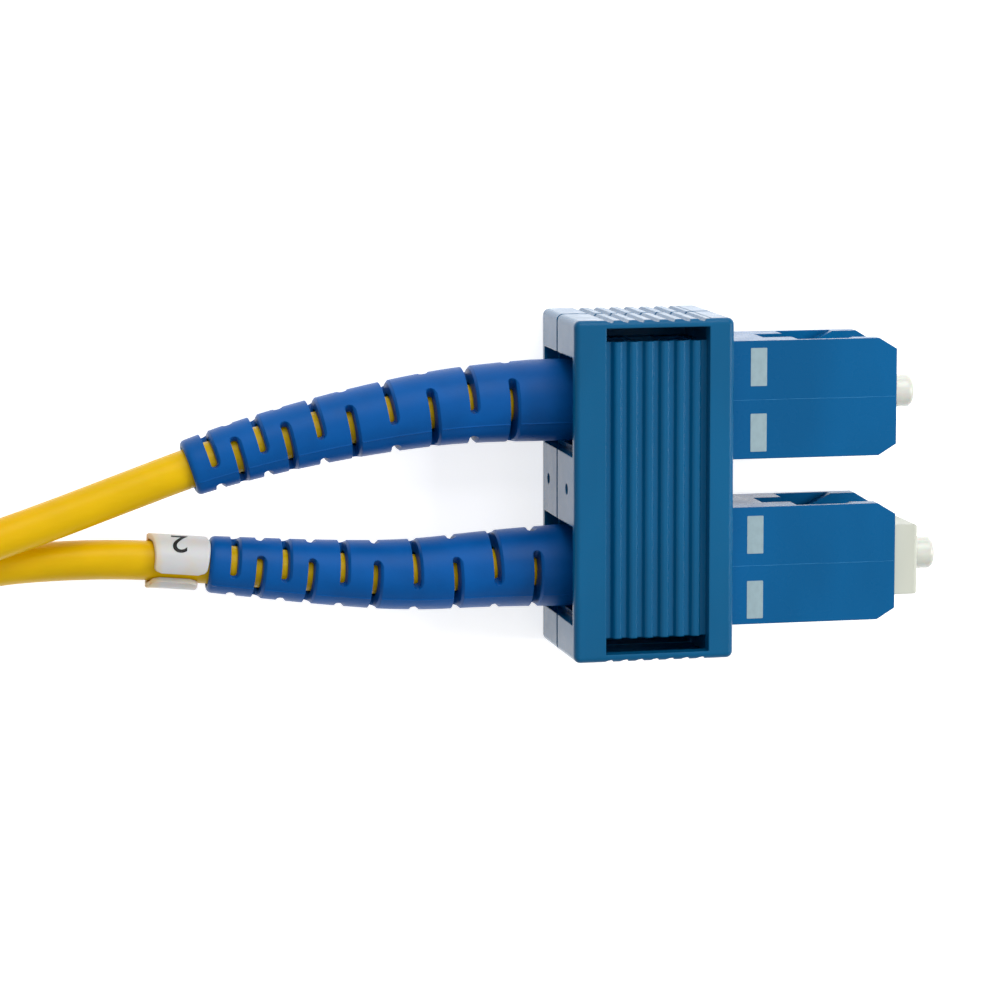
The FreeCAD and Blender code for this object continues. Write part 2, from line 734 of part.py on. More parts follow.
# ---- lead ------------------------------------------------------------------------
def coil_outline(radius):
    """A rounded oblong about the coil's centre, at a radius from its two bend centres."""
    left = coil_right - coil_run_length
    y0, y1 = coil_y - radius, coil_y + radius
    z = tie_wall
    edges = [
        Part.LineSegment(Vector(left, y0, z), Vector(coil_right, y0, z)).toShape(),
        Part.Arc(Vector(coil_right, y0, z), Vector(coil_right + radius, coil_y, z),
                 Vector(coil_right, y1, z)).toShape(),
        Part.LineSegment(Vector(coil_right, y1, z), Vector(left, y1, z)).toShape(),
        Part.Arc(Vector(left, y1, z), Vector(left - radius, coil_y, z),
                 Vector(left, y0, z)).toShape(),
    ]
    return Part.Wire(edges)


coil_height = 2 * cable_radius + (2 * coil_levels - 1) * lay_pitch + tie_fit
coil_hole_radius = coil_inner_radius - cable_radius
coil_outer_radius = coil_inner_radius + (coil_turns_across - 1) * lay_pitch + cable_radius


def coil():
    """The tied coil of both cables, as one closed ring."""
    outer = Part.Face(coil_outline(coil_outer_radius)).extrude(Vector(0, 0, coil_height))
    edges = edges_where(outer, lambda e: e.BoundBox.ZLength < hair)
    outer = outer.makeChamfer(coil_edge, edges)
    hole = Part.Face(coil_outline(coil_hole_radius)).extrude(Vector(0, 0, coil_height))
    return outer.cut(hole)


def tie(side):
    """A strap round one straight side of the coil."""
    x = coil_right - coil_run_length / 2
    y0, y1 = sorted((coil_y + side * (coil_hole_radius - tie_fit),
                     coil_y + side * (coil_outer_radius + tie_fit)))
    top = tie_wall + coil_height + tie_fit
    outer = block(x - tie_width / 2, x + tie_width / 2, y0 - tie_wall, y1 + tie_wall,
                  0, top + tie_wall)
    corners = edges_where(outer, lambda e: e.BoundBox.XLength > tie_width - hair)
    outer = outer.makeFillet(tie_round, corners)
    return outer.cut(block(x - tie_width, x + tie_width, y0, y1, tie_wall - tie_fit, top))


def marker_ring(route, jacket):
    """A split identification ring on the cable, behind the boot."""
    begin = boot_tail_end - jacket + marker_gap
    point = route.at(begin)[0]
    end_point = route.at(begin + marker_length)[0]
    heading = (end_point - point).normalize()
    inner = cable_radius + marker_fit
    ring = Part.makeCylinder(inner + marker_wall, marker_length).cut(
        Part.makeCylinder(inner, marker_length))
    slit = block(inner - bite, inner + marker_wall + beyond, -marker_slit / 2, marker_slit / 2,
                 -beyond, marker_length + beyond)
    slit.rotate(Vector(0, 0, 0), Vector(0, 0, 1), marker_slit_angle)
    ring = ring.cut(slit)
    ring.Placement = Placement(point, Rotation(Vector(0, 0, 1), heading)).multiply(ring.Placement)
    return ring


# ---- assembly --------------------------------------------------------------------
def at_plug(shape, side, slide=0.0):
    """A plug's piece put on one of the two axes of the near connector."""
    moved = shape.copy()
    moved.translate(Vector(slide, side * half_pitch, axis_z))
    return moved


def at_far(shape):
    """A piece of a near connector turned round and put at the far end."""
    moved = shape.copy()
    turn = Placement(Vector(far_x, far_y, 0), Rotation(Vector(0, 0, 1), 180))
    moved.Placement = turn.multiply(moved.Placement)
    return moved


def save(name, shape):
    """One STEP file for one piece."""
    shape = shape.Solids[0] if len(shape.Solids) == 1 else shape
    shape.exportStep(os.path.join("parts", name + ".step"))
    print(f"{name:18s} solids {len(shape.Solids)} valid {shape.isValid()} "
          f"volume {shape.Volume:8.2f}")


def main():
    os.makedirs("parts", exist_ok=True)
    lower, upper = clip_halves()
    housing = grip()
    inner_parts = {
        "frame": plug_frame(), "ferrule": ferrule(), "flange": flange(), "spring": spring(),
        "rear_body": rear_body(), "crimp_ring": crimp_ring(), "fibre": fibre(),
    }
    save("clip_lower", lower)
    save("clip_upper", upper)
    for letter, side, slide, points in (("a", 1, 0.0, near_route_a),
                                        ("b", -1, slide_travel, near_route_b)):
        route = Route(points)
        save("grip_" + letter, at_plug(housing, side))
        for name, shape in inner_parts.items():
            save(name + "_" + letter, at_plug(shape, side, slide))
        save("boot_" + letter, boot(route, slide))
        save("cable_" + letter, route.tube(cable_radius))
        if letter == "b":
            save("marker_ring", marker_ring(route, slide - points[0][0]))
    save("coil", coil())
    save("coil_tie_1", tie(-1))
    save("coil_tie_2", tie(1))

    closed_boot = plain_boot()
    save("far_clip_lower", at_far(lower))
    save("far_clip_upper", at_far(upper))
    for letter, side, points in (("a", -1, far_route_a), ("b", 1, far_route_b)):
        save("far_grip_" + letter, at_far(at_plug(housing, side)))
        save("far_frame_" + letter, at_far(at_plug(inner_parts["frame"], side)))
        save("far_ferrule_" + letter, at_far(at_plug(inner_parts["ferrule"], side)))
        save("far_rear_body_" + letter, at_far(at_plug(inner_parts["rear_body"], side)))
        save("far_boot_" + letter, at_far(at_plug(closed_boot, side)))
        save("far_cable_" + letter, Route(points).tube(cable_radius))


main()
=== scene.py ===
import bisect
import math
import random

import bmesh
import bpy
from mathutils import Matrix, Vector


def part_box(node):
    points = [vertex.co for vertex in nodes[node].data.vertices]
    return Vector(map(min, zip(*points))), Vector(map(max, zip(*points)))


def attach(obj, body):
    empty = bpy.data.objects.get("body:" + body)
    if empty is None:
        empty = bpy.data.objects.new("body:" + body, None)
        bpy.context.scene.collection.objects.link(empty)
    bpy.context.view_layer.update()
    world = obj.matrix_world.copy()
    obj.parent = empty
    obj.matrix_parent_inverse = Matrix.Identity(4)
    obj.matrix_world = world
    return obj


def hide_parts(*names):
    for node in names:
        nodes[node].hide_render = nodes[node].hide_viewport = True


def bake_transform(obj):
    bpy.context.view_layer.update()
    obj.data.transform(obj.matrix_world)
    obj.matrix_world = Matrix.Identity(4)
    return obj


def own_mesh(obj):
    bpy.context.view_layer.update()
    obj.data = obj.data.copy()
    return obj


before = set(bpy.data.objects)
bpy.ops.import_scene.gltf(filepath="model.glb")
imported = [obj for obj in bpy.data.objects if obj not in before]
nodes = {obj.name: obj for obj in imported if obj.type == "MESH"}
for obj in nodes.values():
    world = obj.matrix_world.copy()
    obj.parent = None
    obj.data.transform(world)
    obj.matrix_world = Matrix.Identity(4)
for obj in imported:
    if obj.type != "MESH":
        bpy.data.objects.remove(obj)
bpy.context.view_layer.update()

# The looks of a duplex SC fibre-optic connector on its two-core patch lead.
# Metres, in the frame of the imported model: +X is the mating direction and +Z is up.

# ---- sizes ---------------------------------------------------------------------------
mm = 0.001
cable_radius = 1.5 * mm
coil_pitch = 3.05 * mm        # cable to cable in the coil
coil_middle_y = 4.0 * mm
coil_right = -64.6 * mm       # centres of the coil's two bends
coil_left = -88.1 * mm
coil_inner = 9.0 * mm         # centreline radii of the two turns side by side
coil_outer = coil_inner + coil_pitch
coil_low_b = 2.3 * mm         # centreline height of the lowest turn
mark_length = 1.27 * mm       # printed marks on the grips, along X
mark_width = 2.9 * mm
mark_round = 0.03 * mm
mark_spread = 2.5 * mm        # their centres from the plug's axis
mark_film = 0.02 * mm
mark_ahead = {"a": 8.8 * mm, "b": 8.6 * mm}     # of the clip's centre
mark_shift = {"a": 0.0, "b": -0.12 * mm}        # how far each grip's print is off, along Y

# The rest are millimetres, because these pieces are cut at that scale and then reduced.
# The clip:
past = 1.0                    # how far a cutting block runs past the clip
cad_weld = 0.0005             # corners of a CAD mesh that are one
clip_half_length = 6.15
clip_half_width = 12.9
clip_top = 11.25
clip_joint = 5.3              # height of the line where the two halves meet
joint_half = 0.17             # half the shadow line's width
joint_depth = 0.3
joint_end_depth = 0.4         # the same in the narrow ends, which the grooves shave
joint_flare = 0.3             # how much wider its cutter is outside the wall
joint_taper = 0.08            # how much narrower it is at the bottom
end_half_length = 4.4         # half the length of the grooved part of a narrow end
end_shaving = 0.02
finger_groove_count = 7       # upright grooves in the clip's narrow ends
finger_groove_first = -3.45
finger_groove_depth = 0.2
finger_groove_half = 0.34     # half its width at the wall
finger_groove_pitch = 1.18
finger_groove_floor = ((0.6, 1.0), (-0.35, 0.7))    # shares of its half width and depth
panel_rear = -3.74            # the sunk panel in the clip's top
panel_front = 4.22
panel_bed = 9.83              # the floor under the ribs, cut out before they are added
panel_half_width = 12.29      # with the dark slots at its two ends
slot_inner = 11.2             # where the slots begin
slot_undercut = 0.3           # how far each runs in under the ribs
slot_outer = 12.6
slot_low = 3.0
slot_high = 10.0
rib_first = -2.96             # rear edge of the first rib's flat
rib_width = 0.58
rib_pitch = 1.214
rib_count = 6
rib_foot = 9.7                # bottom of the block that carries the ribs
rib_lap = 0.1                 # how far that block runs into the panel's walls
rib_floor = 10.25
rib_top = 10.65
# A rib's two rounded sides: how far ahead of its edge and below its top each point lies.
rib_front = ((0.01, 0.12), (-0.03, 0.04), (-0.12, 0.0))
rib_rear = ((0.20, 0.01), (0.08, 0.05), (-0.04, 0.14))
rib_front_foot = 0.04         # ahead of the edge, where the side reaches the floor
rib_rear_foot = -0.20
far_clip_x = -163.0
far_clip_y = 4.0

# The boots, whose places are behind the clip's centre:
boot_front = 0.8
boot_plain = (boot_front, 2.4, 4.2, 6.0, 7.2)   # rings of its straight front part
boot_taper_start = 8.0
boot_end = 34.7
boot_rim = 0.35               # its rear rim's rounding
boot_front_radius = 3.1
boot_end_radius = 2.13
boot_outer_steps = 66
boot_bore = 1.68
boot_bore_front = 8.9
boot_bore_bevel = 0.1
boot_bore_steps = 31
# The boot's bore round the crimp ring: places and radii.
crimp_room = ((8.6, 2.02), (7.0, 2.02), (6.4, 2.42), (3.6, 2.42), (boot_front, 2.42))
boot_seam = {"a": -28, "b": -38}        # the moulding seam's angle from the top
seam_rise = 0.06
seam_half_angle = 1.2         # half the angle that the seam spans
boot_side_steps = 33          # from one seam to the other
# Places of the rings of slits, two to a ring.
boot_slits = (9.95, 13.02, 16.09, 19.16, 22.23, 24.73, 27.18, 29.13, 31.03, 32.91)
slit_half_width = 0.3
slit_half_angle = 70.0        # half the angle that a slit spans
slit_lip = 0.17               # bevel on the rim ahead of each slit
slit_end = 0.5                # length of its rounded end
slit_end_steps = (0.01, 0.04, 0.09, 0.16, 0.24, 0.34)
slit_steps = 26               # along the rest of it
slit_bottom = 1.35            # the cutter's inner radius, inside the boot's bore
slit_past = 0.5               # how far it runs past the boot's outside
slit_narrowing = 0.6          # its front half width at the bottom
jacket_behind = 6.4           # the jacket's end, with the plug drawn back
heading_reach = 0.5           # how far either way a cable's direction is taken over

# The ferrules' springs:
spring_wire = 0.25            # the wire's radius
spring_turns = 7
spring_steps = 40             # to a turn
spring_sides = 10
spring_dead = 0.55            # how much closer its end turns lie than even ones

# The marker and its digit:
marker_front = 34.72
marker_rear = 39.35
marker_inner = 1.6
marker_outer = 2.05
marker_bevel = 0.1
marker_corner = 0.5           # rounding of its corners beside the slit
marker_slit = -30.0           # its slit's angle and half the angle it spans
marker_slit_half = 11.0
marker_steps = 72
marker_rings = 6
marker_front_angle = 45       # where its front end reaches furthest forward
marker_front_dip = (0.35, 0.7)          # and how far it falls back on the two sides of that
marker_rear_angle = 10        # where its rear end falls back most
marker_rear_dip = 0.65
marker_rear_curve = 0.8       # the power that shapes that dip
digit_height = 1.8
digit_width = 1.2
digit_place = 37.0
digit_angle = 78.0            # the angle of its foot round the ring
digit_slices = 20             # levels that let it bend round the ring
digit_bold = 0.002
digit_film = 0.01
digit_lift = 0.008            # clear of the ring
digit_weld = 0.0002

# The straps round the coil:
strap_width = 7.0
strap_wall = 0.8
strap_x = -76.35
strap_reach = (7.48, 13.57)   # its loop's two sides, from the coil's middle
strap_height = 12.19          # of the two levels of cable inside it
strap_corner = 0.9
strap_bevel = 0.15
strap_edge = 0.2
lap_height = 0.3              # the lapped end on top
lap_sunk = 0.05
lap_bevel = 0.1
lap_steps = 12
lap_starts = 0.6
lap_stops = 1.0               # how far both ends lie inside the loop's sides
lap_tip = 0.8                 # share of its length where it starts to narrow
lap_narrowing = 0.25

# The fine moulding line along each grip:
grip_seam_rear = 6.2
grip_seam_front = 19.6
grip_seam_steps = 24
grip_seam_seed = 5
grip_seam_wander = 0.012
grip_seam_half = (0.014, 0.026)
grip_seam_rise = (0.006, 0.014)
grip_seam_sunk = 0.02

# Control points of the two cables: jacket end to coil, and coil to the far boots.
near_route_a = [
    (-0.0064, 0.00635, 0.0047), (-0.0125, 0.00630, 0.0047), (-0.0195, 0.00540, 0.0047),
    (-0.0265, 0.00405, 0.0047), (-0.0330, 0.00235, 0.0047), (-0.0395, 0.00005, 0.0047),
    (-0.0460, -0.00220, 0.0049), (-0.0525, -0.00420, 0.0053), (-0.0590, -0.00690, 0.0054),
    (-0.0655, -0.00795, 0.0054),
]
near_route_b = [
    (-0.0046, -0.00635, 0.0047), (-0.0108, -0.00638, 0.0047), (-0.0175, -0.00675, 0.0047),
    (-0.0240, -0.00630, 0.0047), (-0.0305, -0.00562, 0.0047), (-0.0370, -0.00495, 0.0043),
    (-0.0430, -0.00490, 0.0033), (-0.0495, -0.00535, 0.00245), (-0.0560, -0.00690, 0.0023),
    (-0.0625, -0.00795, 0.0023),
]
far_route_a = [
    (-0.0914, -0.00805, 0.01145), (-0.0968, -0.0048, 0.0114), (-0.1006, -0.0004, 0.0110),
    (-0.1052, 0.0043, 0.0095), (-0.1114, 0.0086, 0.0073), (-0.1186, 0.0102, 0.0053),
    (-0.1265, 0.01036, 0.00472), (-0.1370, 0.01040, 0.0047), (-0.1475, 0.01033, 0.0047),
    (-0.1566, 0.01035, 0.0047),
]
far_route_b = [
    (-0.0914, -0.0079, 0.0084), (-0.0972, -0.0053, 0.0083), (-0.1032, -0.0039, 0.0069),
    (-0.1100, -0.0029, 0.0056), (-0.1175, -0.0024, 0.0049), (-0.1265, -0.00236, 0.00472),
    (-0.1370, -0.00232, 0.0047), (-0.1475, -0.00238, 0.0047), (-0.1566, -0.00235, 0.0047),
]

# ---- camera, light and floor -----------------------------------------------------------
camera_place = (-0.0739, 0.04116, 0.3027)
camera_looks = (0.20622, -0.13775, -0.96876)       # the way it faces
camera_upright = (0.03075, 0.99046, -0.13429)      # the picture's upward way
camera_lens = 145.9           # for a sensor 36 mm wide
lamps = (                     # name, place, size in metres, watts
    ("lamp_right", (0.40, 0.04, 0.36), 0.24, 1.45),
    ("lamp_far", (0.02, 0.46, 0.36), 0.40, 1.75),
    ("lamp_top", (0.05, 0.02, 0.62), 0.50, 0.3),
)
lamp_aim = (-0.005, 0, 0)
surround_strength = 0.36
floor_size = 4.0              # half its width
floor_glow = 0.68             # what the floor shows by itself, on top of the light on it
floor_mirrored = 1.2          # and what it shows in glossy and clear surfaces


def add_camera():
    """The camera: above the lead, looking down and a little towards the plugs."""
    back = -Vector(camera_looks).normalized()
    side = Vector(camera_upright).cross(back).normalized()
    up = back.cross(side)
    data = bpy.data.cameras.new("camera")
    data.sensor_width = 36
    data.lens = camera_lens
    camera = bpy.data.objects.new("camera", data)
    turn = Matrix((side, up, back)).transposed().to_4x4()
    camera.matrix_world = Matrix.Translation(camera_place) @ turn
    bpy.context.scene.collection.objects.link(camera)
    bpy.context.scene.camera = camera


def add_lamp(name, place, size, power):
    """A square soft box that faces the connector."""
    data = bpy.data.lights.new(name, "AREA")
    data.size = size
    data.energy = power
    lamp = bpy.data.objects.new(name, data)
    aim = Vector(lamp_aim) - Vector(place)
    lamp.rotation_euler = aim.to_track_quat("-Z", "Y").to_euler()
    lamp.location = place
    bpy.context.scene.collection.objects.link(lamp)


def seen_directly(tree):
    """One for camera, mirror and see-through rays, and nothing for the light that falls."""
    rays = tree.nodes.new("ShaderNodeLightPath").outputs
    seen = rays["Is Camera Ray"]
    for name in ("Is Glossy Ray", "Is Transmission Ray"):
        either = tree.nodes.new("ShaderNodeMath")
        either.operation = "MAXIMUM"
        tree.links.new(seen, either.inputs[0])
        tree.links.new(rays[name], either.inputs[1])
        seen = either.outputs[0]
    return seen


def add_world(strength):
    """An even pale surround that lights softly and looks white from the camera."""
    world = bpy.data.worlds.new("surround")
    world.use_nodes = True
    tree = world.node_tree
    background = tree.nodes["Background"]
    background.inputs["Color"].default_value = (1, 1, 1, 1)
    shown = tree.nodes.new("ShaderNodeMapRange")
    shown.inputs["To Min"].default_value = strength
    shown.inputs["To Max"].default_value = 1
    tree.links.new(seen_directly(tree), shown.inputs["Value"])
    tree.links.new(shown.outputs["Result"], background.inputs["Strength"])
    bpy.context.scene.world = world


class Finish:
    """A material that is built up round one Principled shader."""

    def __init__(self, name, **settings):
        self.material = bpy.data.materials.new(name)
        self.material.use_nodes = True
        self.tree = self.material.node_tree
        self.shader = self.tree.nodes["Principled BSDF"]
        for key, value in settings.items():
            self.shader.inputs[key.replace("_", " ")].default_value = value

    def node(self, kind, inputs=(), **attributes):
        """A new node with its attributes set and its inputs set or linked."""
        made = self.tree.nodes.new("ShaderNode" + kind)
        for name, value in attributes.items():
            setattr(made, name, value)
        for key, value in dict(inputs).items():
            if isinstance(value, bpy.types.NodeSocket):
                self.tree.links.new(value, made.inputs[key])
            else:
                made.inputs[key].default_value = value
        return made

    def noise(self, size, detail=2.0, stretch=(1, 1, 1)):
        """A noise value whose features are about this size, stretched along each axis."""
        place = self.node("TexCoord").outputs["Object"]
        scale = [1 / (size * s) for s in stretch]
        moved = self.node("Mapping", {"Vector": place, "Scale": scale}).outputs["Vector"]
        texture = self.node("TexNoise", {"Vector": moved, "Scale": 1.0, "Detail": detail})
        return texture.outputs["Fac"]

    def ramp(self, value, low, high, start=0.0, stop=1.0):
        """A value carried from one range to another, and clamped."""
        made = self.node("MapRange", {"Value": value, "From Min": low, "From Max": high,
                                      "To Min": start, "To Max": stop})
        return made.outputs["Result"]

    def mix(self, share, first, second):
        """A colour between two others."""
        made = self.node("Mix", data_type="RGBA")
        for socket, value in ((made.inputs["Factor"], share), (made.inputs[6], first),
                              (made.inputs[7], second)):
            if isinstance(value, bpy.types.NodeSocket):
                self.tree.links.new(value, socket)
            else:
                socket.default_value = value
        return made.outputs[2]

    def paint(self, colour):
        """The shader's colour."""
        self.tree.links.new(colour, self.shader.inputs["Base Color"])

    def shine(self, roughness):
        """The shader's roughness."""
        self.tree.links.new(roughness, self.shader.inputs["Roughness"])

    def relief(self, heights, edge=0.0):
        """The shader's normal: softened edges, then one bump for each (height, depth)."""
        normal = None
        if edge:
            normal = self.node("Bevel", {"Radius": edge}, samples=6).outputs["Normal"]
        for height, depth in heights:
            inputs = {"Height": height, "Distance": depth, "Strength": 1.0}
            if normal:
                inputs["Normal"] = normal
            normal = self.node("Bump", inputs).outputs["Normal"]
        self.tree.links.new(normal, self.shader.inputs["Normal"])


def srgb(red, green, blue):
    """A colour given as 0 to 255 display values."""
    linear = [((c / 255 + 0.055) / 1.055) ** 2.4 if c > 10 else c / 255 / 12.92
              for c in (red, green, blue)]
    return (*linear, 1.0)


def toned(colour, factor):
    """A darker or lighter tone of a colour."""
    return [min(1.0, c * factor) for c in colour[:3]] + [1.0]


def add_floor():
    """The pale floor: white from the camera, with the object's shadow on it."""
    mesh = bpy.data.meshes.new("floor")
    corners = [(x, y, 0) for x, y in oblong(floor_size, floor_size)]
    mesh.from_pydata(corners, [], [(0, 1, 2, 3)])
    floor = bpy.data.objects.new("floor", mesh)
    bpy.context.scene.collection.objects.link(floor)
    finish = Finish("floor", Roughness=0.9, Specular_IOR_Level=0.0,
                    Base_Color=srgb(242, 242, 242))
    finish.shader.inputs["Emission Color"].default_value = (1, 1, 1, 1)
    rays = finish.node("LightPath").outputs
    seen = finish.ramp(rays["Is Camera Ray"], 0, 1, 0.0, floor_glow)
    for name in ("Is Glossy Ray", "Is Transmission Ray"):
        mirrored = finish.ramp(rays[name], 0, 1, 0.0, floor_mirrored)
        either = finish.node("Math", operation="MAXIMUM")
        finish.tree.links.new(seen, either.inputs[0])
        finish.tree.links.new(mirrored, either.inputs[1])
        seen = either.outputs[0]
    finish.tree.links.new(seen, finish.shader.inputs["Emission Strength"])
    mesh.materials.append(finish.material)


# ---- materials -------------------------------------------------------------------------
def moulded(name, colour, roughness, skin_depth=0.005 * mm, edge=0.12 * mm, gloss=0.07):
    """Moulded plastic: faint flow marks, a fine eroded skin and softened edges."""
    finish = Finish(name, Specular_IOR_Level=gloss)
    patches = finish.noise(9 * mm, 3.0, (1, 2.5, 1))
    finish.paint(finish.mix(finish.ramp(patches, 0.35, 0.65), toned(colour, 0.90),
                            toned(colour, 1.08)))
    skin = finish.noise(0.09 * mm, 3.0)
    rub = finish.noise(1.6 * mm, 4.0)
    finish.shine(finish.ramp(rub, 0.3, 0.7, roughness * 0.86, roughness * 1.16))
    finish.relief([(skin, skin_depth), (rub, 0.006 * mm)], edge)
    return finish.material


def soft_rubber(name, colour):
    """Soft moulded plastic: a matt bloom over a fine leathery skin."""
    finish = Finish(name, Specular_IOR_Level=0.12)
    bloom = finish.noise(3.2 * mm, 4.0)
    finish.paint(finish.mix(finish.ramp(bloom, 0.35, 0.68), toned(colour, 0.90),
                            toned(colour, 1.08)))
    finish.shine(finish.ramp(bloom, 0.3, 0.7, 0.34, 0.46))
    skin = finish.noise(0.14 * mm, 3.0)
    finish.relief([(skin, 0.010 * mm), (bloom, 0.02 * mm)], 0.08 * mm)
    return finish.material


def cable_jacket(name, colour):
    """Extruded jacket: long faint draw lines and a slightly uneven skin."""
    finish = Finish(name, Specular_IOR_Level=0.15, Subsurface_Weight=0.06,
                    Subsurface_Scale=0.4 * mm)
    lines = finish.noise(0.35 * mm, 2.0, (14, 1, 1))
    waves = finish.noise(4 * mm, 2.0)
    finish.paint(finish.mix(finish.ramp(waves, 0.35, 0.65), toned(colour, 0.93), colour))
    finish.shine(finish.ramp(lines, 0.3, 0.7, 0.30, 0.42))
    skin = finish.noise(0.12 * mm, 3.0)
    finish.relief([(lines, 0.010 * mm), (skin, 0.005 * mm)])
    return finish.material


def ring_plastic(name, colour, tint):
    """Thin pale plastic that lets the yellow jacket show through it, most at its rear end."""
    finish = Finish(name, Specular_IOR_Level=0.35, Subsurface_Weight=0.3,
                    Subsurface_Scale=0.6 * mm)
    haze = finish.noise(0.9 * mm, 3.0)
    ageing = finish.noise(2.6 * mm, 2.0)
    warmer = finish.mix(finish.ramp(ageing, 0.45, 0.75), colour, tint)
    clean = finish.mix(finish.ramp(haze, 0.3, 0.7, 0.0, 0.35), colour, warmer)
    along = finish.node("TexCoord").outputs["Generated"]
    split = finish.node("SeparateXYZ")
    finish.tree.links.new(along, split.inputs[0])
    rear_end = finish.ramp(split.outputs["X"], 0.06, 0.24, 0.75, 0.0)
    finish.paint(finish.mix(rear_end, clean, tint))
    finish.shine(finish.ramp(haze, 0.3, 0.7, 0.32, 0.44))
    finish.relief([(finish.noise(0.1 * mm, 2.0), 0.005 * mm)], 0.08 * mm)
    return finish.material


def polished_ceramic(name, colour):
    """Ground and polished zirconia, a little clear at the surface."""
    finish = Finish(name, Specular_IOR_Level=0.6, Subsurface_Weight=0.25,
                    Subsurface_Scale=0.8 * mm)
    cloud = finish.noise(1.5 * mm, 3.0)
    finish.paint(finish.mix(cloud, colour, toned(colour, 1.05)))
    grind = finish.noise(0.05 * mm, 2.0, (1, 30, 30))
    finish.shine(finish.ramp(grind, 0.3, 0.7, 0.08, 0.18))
    finish.relief([(grind, 0.001 * mm)], 0.08 * mm)
    return finish.material


def plated_metal(name, colour, roughness):
    """Turned and plated metal, with fine tool rings round the axis."""
    finish = Finish(name, Metallic=1.0)
    rings = finish.noise(0.06 * mm, 2.0, (1, 40, 40))
    stain = finish.noise(1.2 * mm, 3.0)
    finish.paint(finish.mix(finish.ramp(stain, 0.4, 0.7), colour, toned(colour, 0.85)))
    finish.shine(finish.ramp(rings, 0.3, 0.7, roughness * 0.8, roughness * 1.3))
    finish.relief([(rings, 0.003 * mm)], 0.06 * mm)
    return finish.material


def printed_ink(name, colour, thinning):
    """Pad-printed ink: slightly mottled, thinner in places and a little grainy."""
    finish = Finish(name, Specular_IOR_Level=0.2)
    mottle = finish.noise(0.35 * mm, 4.0, (1, 1.6, 1))
    thin = toned(colour, thinning)
    finish.paint(finish.mix(finish.ramp(mottle, 0.38, 0.72), colour, thin))
    finish.shine(finish.ramp(mottle, 0.3, 0.7, 0.45, 0.6))
    finish.relief([(mottle, 0.004 * mm)])
    return finish.material


def woven_strap(name, colour):
    """Hook-and-loop strap: a fuzzy pile over a woven base."""
    finish = Finish(name, Specular_IOR_Level=0.2, Sheen_Weight=0.4, Sheen_Roughness=0.6)
    pile = finish.noise(0.22 * mm, 4.0)
    base = finish.noise(0.5 * mm, 1.0, (3, 1, 1))
    finish.paint(finish.mix(finish.ramp(pile, 0.4, 0.7), colour, toned(colour, 2.2)))
    finish.shine(finish.ramp(base, 0.3, 0.7, 0.75, 0.95))
    finish.relief([(base, 0.08 * mm), (pile, 0.12 * mm)])
    return finish.material


clip_plastic = moulded("clip_plastic", srgb(2, 92, 138), 0.22, edge=0.16 * mm, gloss=0.13)
grip_plastic = moulded("grip_plastic", srgb(4, 92, 146), 0.27, skin_depth=0.004 * mm,
                       gloss=0.09)
# The grips' moulding ridge: lighter than the grip plastic, a painted highlight along the ridge.
seam_highlight_plastic = moulded("seam_highlight_plastic", srgb(60, 136, 190), 0.36, skin_depth=0.003 * mm,
                       edge=0.02 * mm)
boot_rubber = soft_rubber("boot_rubber", srgb(0, 84, 158))
frame_plastic = moulded("frame_plastic", srgb(206, 209, 196), 0.42, gloss=0.2)
marker_plastic = ring_plastic("marker_plastic", srgb(204, 205, 207), srgb(220, 190, 110))
zirconia = polished_ceramic("zirconia", srgb(208, 210, 202))
nickel = plated_metal("nickel", srgb(196, 192, 184), 0.28)
spring_steel = plated_metal("spring_steel", srgb(176, 176, 176), 0.32)
fibre_buffer = moulded("fibre_buffer", srgb(232, 228, 210), 0.4)
jacket = cable_jacket("jacket", srgb(232, 188, 0))
mark_ink = printed_ink("mark_ink", srgb(157, 180, 187), 0.9)
digit_ink = printed_ink("digit_ink", srgb(18, 19, 21), 1.5)
strap_fabric = woven_strap("strap_fabric", srgb(24, 24, 26))

finish_of = {
    "clip": clip_plastic, "grip": grip_plastic, "frame": frame_plastic, "ferrule": zirconia,
    "flange": nickel, "spring": spring_steel, "rear": nickel, "crimp": nickel,
    "fibre": fibre_buffer, "boot": boot_rubber, "cable": jacket, "coil": jacket,
    "marker": marker_plastic,
}


def dress(name):
    """Gives a CAD node the finish that goes with the first word of its name."""
    word = name.removeprefix("far_").split("_")[0]
    mesh = nodes[name].data
    mesh.materials.clear()
    mesh.materials.append(finish_of[word])


# ---- pieces ----------------------------------------------------------------------------
def add_piece(name, mesh, material, body):
    """A mesh as a piece that rides on a CAD body."""
    mesh.materials.clear()
    mesh.materials.append(material)
    piece = bpy.data.objects.new(name, mesh)
    bpy.context.scene.collection.objects.link(piece)
    if body:
        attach(piece, body)
    return piece


def shade_smooth(mesh):
    """Smooth shading on every face."""
    mesh.polygons.foreach_set("use_smooth", [True] * len(mesh.polygons))


def turn_stations():
    """One turn's corners as (bend centre, angle, how far out), from the near side's middle."""
    middle = (coil_left + coil_right) / 2
    corner = 1 / math.cos(math.radians(15))     # for a bend in steps of 30 degrees
    stations = [(middle, -90, 1.0), (coil_left, -90, 1.0)]
    stations += [(coil_left, angle, corner) for angle in (255, 225, 195, 165, 135, 105)]
    stations += [(coil_left, 90, 1.0), (middle, 90, 1.0), (coil_right, 90, 1.0)]
    stations += [(coil_right, angle, corner) for angle in (75, 45, 15, -15, -45, -75)]
    return stations + [(coil_right, -90, 1.0)]


